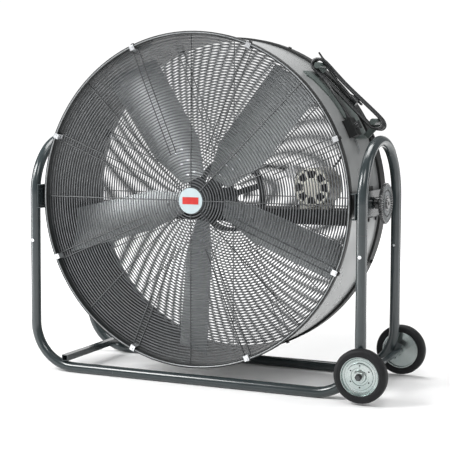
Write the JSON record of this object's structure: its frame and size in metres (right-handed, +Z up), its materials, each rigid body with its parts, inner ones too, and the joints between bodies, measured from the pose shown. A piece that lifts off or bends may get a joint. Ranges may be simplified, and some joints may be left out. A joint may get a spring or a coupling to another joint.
{
  "type": "mobile drum fan",
  "caption": "Belt-driven drum fan: wide sheet-metal drum with wire guards, tilting in a bent-tube frame that rolls on wheels at one end.",
  "frame": {"origin": "middle of the object's box on the floor, under the rails; the drum's axis is 40 mm to the -X side of it and 704 mm up", "axes": "+X towards the wheels, -Y the side that the air blows out of, +Z up"},
  "size_m": [1.516, 0.61, 1.345],
  "materials": {
    "frame_paint": "semi-gloss",
    "zinc": "zinc plated",
    "black_bolts": "black oxide",
    "bronze": "sintered",
    "tyre": "matte",
    "wheel_zinc": "zinc plated",
    "drum_paint": "gloss",
    "rim_paint": "semi-gloss",
    "guard_wire": "semi-gloss",
    "badge_white": "gloss",
    "badge_red": "gloss",
    "cast_iron": "painted",
    "belt_rubber": "matte",
    "motor_paint": "semi-gloss",
    "motor_core": "laminated",
    "capacitor_can": "bright",
    "cord_rubber": "satin",
    "shaft_steel": "ground",
    "blade_metal": "satin",
    "knob_plastic": "matte"
  },
  "bodies": {
    "frame": {"front_lower_tube": "frame_paint", "rear_lower_tube": "frame_paint", "left_hoop": "frame_paint", "right_hoop": "frame_paint", "hoop_bolts": "zinc", "cross_brace": "frame_paint", "pivot_channels": "frame_paint", "pivot_bushes": "bronze", "wheel_axle": "zinc", "axle_tube": "frame_paint", "axle_brackets": "frame_paint", "axle_nuts": "zinc"},
    "front_wheel": {"front_tyre": "tyre", "front_wheel_disc": "wheel_zinc"},
    "rear_wheel": {"rear_tyre": "tyre", "rear_wheel_disc": "wheel_zinc"},
    "drum": {"drum_shell": "drum_paint", "front_rim": "rim_paint", "rear_rim": "rim_paint", "drum_bolts": "black_bolts", "front_guard": "guard_wire", "rear_guard": "guard_wire", "guard_clips": "zinc", "badge_plate": "badge_white", "badge_label": "badge_red", "shelf": "rim_paint", "bearings": "cast_iron", "drive_belt": "belt_rubber", "motor_shell": "motor_paint", "motor_front_bell": "motor_paint", "motor_rear_bell": "motor_paint", "motor_stator": "motor_core", "capacitor": "capacitor_can", "motor_wiring_box": "motor_paint", "motor_lead": "cord_rubber", "pivot_pads": "rim_paint", "pivot_studs": "zinc", "friction_washers": "belt_rubber", "switch_box": "rim_paint", "cord_gland": "cord_rubber", "cord_wrap": "rim_paint", "mains_cord_lead": "cord_rubber", "mains_cord_coil": "cord_rubber", "mains_cord_end": "cord_rubber", "mains_plug": "cord_rubber"},
    "propeller": {"fan_shaft": "shaft_steel", "fan_spider": "cast_iron", "blade_rivets": "zinc", "blade_1": "blade_metal", "blade_2": "blade_metal", "blade_3": "blade_metal", "blade_4": "blade_metal", "blade_5": "blade_metal", "driven_pulley": "cast_iron"},
    "motor_spindle": {"motor_rotor": "motor_core", "motor_shaft": "shaft_steel", "drive_pulley": "cast_iron"},
    "left_knob": {"left_tilt_knob": "knob_plastic"},
    "right_knob": {"right_tilt_knob": "knob_plastic"},
    "switch": {"switch_knob": "knob_plastic"}
  },
  "joints": [
    {"name": "drum_tilt", "type": "hinge", "parent": "frame", "child": "drum", "pos_m": [-0.04, 0, 0.704], "axis": [1, 0, 0], "range_deg": [-90, 90]},
    {"name": "fan_spin", "type": "hinge", "parent": "drum", "child": "propeller", "pos_m": [-0.04, -0.075, 0.704], "axis": [0, 1, 0], "continuous": true},
    {"name": "motor_spin", "type": "hinge", "parent": "drum", "child": "motor_spindle", "pos_m": [0.368, 0.1, 0.754], "axis": [0, 1, 0], "continuous": true},
    {"name": "left_knob_turn", "type": "hinge", "parent": "drum", "child": "left_knob", "pos_m": [-0.745, 0, 0.704], "axis": [1, 0, 0], "range_deg": [0, 360]},
    {"name": "right_knob_turn", "type": "hinge", "parent": "drum", "child": "right_knob", "pos_m": [0.665, 0, 0.704], "axis": [1, 0, 0], "range_deg": [-360, 0]},
    {"name": "switch_turn", "type": "hinge", "parent": "drum", "child": "switch", "pos_m": [0.56513, -0.039, 0.99393], "axis": [0.9018, 0, 0.4321], "range_deg": [0, 90]},
    {"name": "front_wheel_spin", "type": "hinge", "parent": "frame", "child": "front_wheel", "pos_m": [0.66, -0.268, 0.105], "axis": [0, 1, 0], "continuous": true},
    {"name": "rear_wheel_spin", "type": "hinge", "parent": "frame", "child": "rear_wheel", "pos_m": [0.66, 0.268, 0.105], "axis": [0, 1, 0], "continuous": true}
  ],
  "couplings": [
    {"joint": "motor_spin", "follows": "fan_spin", "ratio": 3.9189}
  ]
}
